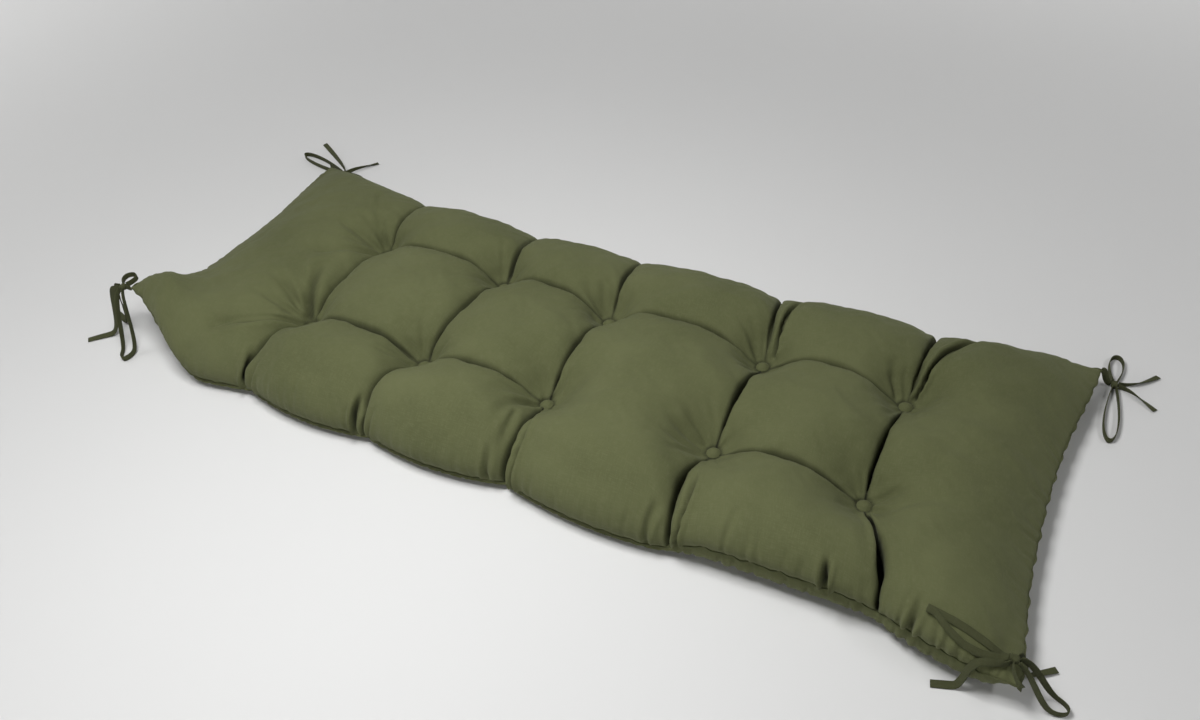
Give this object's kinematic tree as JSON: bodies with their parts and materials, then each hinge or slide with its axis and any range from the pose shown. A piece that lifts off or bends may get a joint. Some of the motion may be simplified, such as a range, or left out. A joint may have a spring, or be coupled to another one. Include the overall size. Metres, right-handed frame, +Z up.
{
  "type": "bench cushion",
  "caption": "Long filled seat cushion with a knife-edge seam, tufted with covered buttons in lengthwise rows, and a narrow flat tape tied in a bow at each corner.",
  "frame": {"origin": "under the middle of the cushion's plan box, on the surface it rests on", "axes": "+X along the bench, from the raised front corner's end to the other end; +Y from the front edge to the back edge; +Z up"},
  "size_m": [1.5036, 0.6113, 0.1094],
  "materials": {
    "cover cloth": "matt olive plain-weave cloth",
    "button cloth": "the same cloth, drawn tight over a domed shell",
    "tape": "the same cloth, folded and stitched to a narrow flat tape"
  },
  "bodies": {
    "root": {"cushion": "cover cloth", "button_b1": "button cloth", "button_b2": "button cloth", "button_b3": "button cloth", "button_b4": "button cloth", "button_b5": "button cloth", "button_c1": "button cloth", "button_c2": "button cloth", "button_c3": "button cloth", "button_c4": "button cloth", "button_c5": "button cloth", "tie_back_left_knot": "tape", "tie_back_left_root": "tape", "tie_back_left_loop1": "tape", "tie_back_left_loop2": "tape", "tie_back_left_end1": "tape", "tie_back_left_end2": "tape", "tie_back_right_knot": "tape", "tie_back_right_root": "tape", "tie_back_right_loop1": "tape", "tie_back_right_loop2": "tape", "tie_back_right_end1": "tape", "tie_back_right_end2": "tape", "tie_front_left_knot": "tape", "tie_front_left_root": "tape", "tie_front_left_loop1": "tape", "tie_front_left_loop2": "tape", "tie_front_left_end1": "tape", "tie_front_left_end2": "tape", "tie_front_right_knot": "tape", "tie_front_right_root": "tape", "tie_front_right_loop1": "tape", "tie_front_right_loop2": "tape", "tie_front_right_end1": "tape", "tie_front_right_end2": "tape"}
  },
  "joints": []
}
